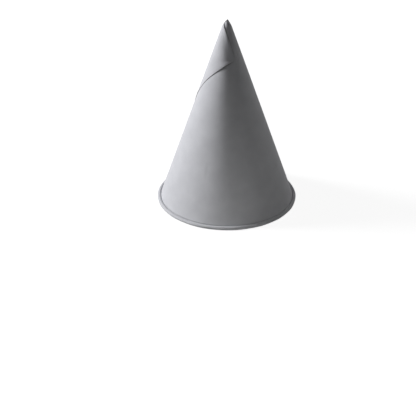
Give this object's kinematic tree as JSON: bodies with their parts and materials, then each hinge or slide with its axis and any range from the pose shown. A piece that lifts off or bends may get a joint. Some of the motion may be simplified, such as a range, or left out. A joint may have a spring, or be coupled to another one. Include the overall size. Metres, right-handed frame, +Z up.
{
  "type": "cone paper cup",
  "caption": "Cone-shaped paper drinking cup with a wound seam, a blunt tip and a rolled rim, standing mouth down.",
  "frame": {"origin": "centre of the rolled rim, on the surface that the cup stands on mouth down", "axes": "+Z up along the cone's axis from the open mouth to the closed tip; -Y towards the picture's camera, where the sheet's outer edge crosses the wall just below the tip; +X to that view's right"},
  "size_m": [0.072, 0.072, 0.0966],
  "materials": {
    "paper": "uncoated white paper, matt with a faint sheen"
  },
  "bodies": {
    "root": {"cone_cup": "paper"}
  },
  "joints": []
}
